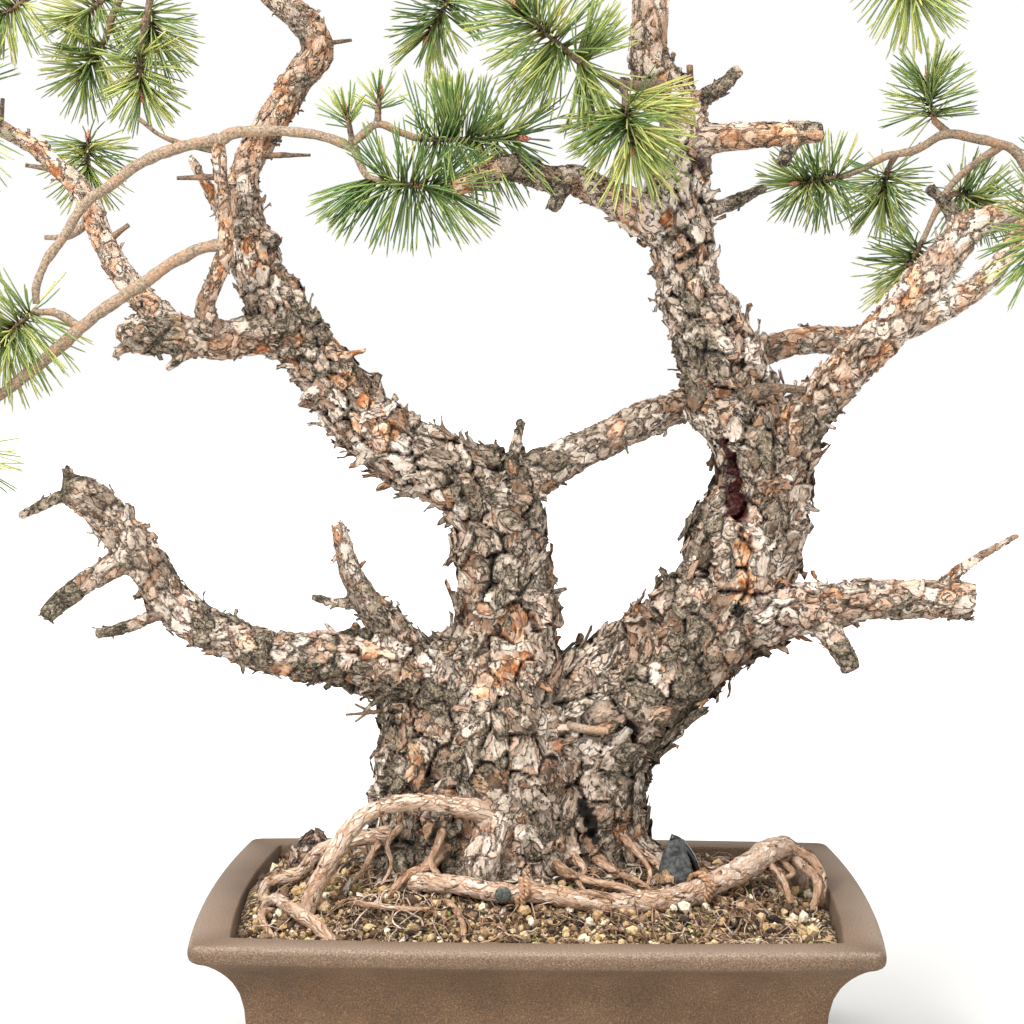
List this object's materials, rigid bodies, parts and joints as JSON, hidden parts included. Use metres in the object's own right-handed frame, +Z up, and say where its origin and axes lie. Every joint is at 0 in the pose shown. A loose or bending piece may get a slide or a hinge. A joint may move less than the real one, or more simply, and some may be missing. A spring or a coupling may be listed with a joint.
{
  "type": "scots pine bonsai",
  "caption": "Scots pine bonsai: forked trunk with flaky bark, bare stubs and open sprays of needles, rooted in mounded grit in a rectangular unglazed pot with a flared rim.",
  "frame": {"origin": "on the ground under the middle of the pot", "axes": "+X to the right along the pot's long side and the tree's spread, -Y to the front from which the tree is seen, +Z up"},
  "size_m": [0.8885, 0.3339, 0.8653],
  "materials": {
    "stoneware": "matte unglazed brown stoneware, speckled",
    "plastic_mesh": "matte",
    "substrate": "damp grit of pumice and fired clay with humus, taken as 1000 kg per cubic metre",
    "bark": "flaky grey-beige bark over orange inner bark",
    "needles": "waxy blue-green needles",
    "slate": "rough dark slate",
    "black_glass_rock": "glossy black",
    "cord": "twisted natural fibre",
    "steel": "weathered zinc coat"
  },
  "bodies": {
    "root": {"bark_chunk": "bark", "black_shard": "black_glass_rock", "cord_tie_left": "cord", "cord_tie_right": "cord", "drain_screen_left": "plastic_mesh", "drain_screen_right": "plastic_mesh", "nail": "steel", "pot": "stoneware", "slate_wedge": "slate", "soil": "substrate", "spray_back_centre": "needles", "spray_front_arch_end": "needles", "spray_front_centre_low": "needles", "spray_front_centre_top": "needles", "spray_front_hanging": "needles", "spray_front_young_left": "needles", "spray_front_young_right": "needles", "spray_left_apex": "needles", "spray_left_back_end": "needles", "spray_left_back_inner": "needles", "spray_left_back_low": "needles", "spray_left_back_mid": "needles", "spray_left_back_out": "needles", "spray_left_back_rise": "needles", "spray_left_edge": "needles", "spray_left_far_end": "needles", "spray_left_far_side": "needles", "spray_left_front_end": "needles", "spray_left_front_side": "needles", "spray_left_low_end": "needles", "spray_left_low_under": "needles", "spray_left_top_back": "needles", "spray_left_top_right": "needles", "spray_right_back_end": "needles", "spray_right_back_inner": "needles", "spray_right_back_low": "needles", "spray_right_back_mid": "needles", "spray_right_back_top": "needles", "spray_right_back_under": "needles", "spray_right_edge": "needles", "spray_right_far_back": "needles", "spray_right_far_end": "needles", "spray_right_far_front": "needles", "spray_top_apex": "needles", "spray_top_back_end": "needles", "spray_top_back_side": "needles", "spray_top_back_up": "needles", "spray_top_front": "needles", "spray_top_front_left": "needles", "spray_top_left_out": "needles", "spray_top_right_hang": "needles", "spray_top_right_out": "needles", "spray_top_right_up": "needles", "tree": "bark"}
  },
  "joints": []
}
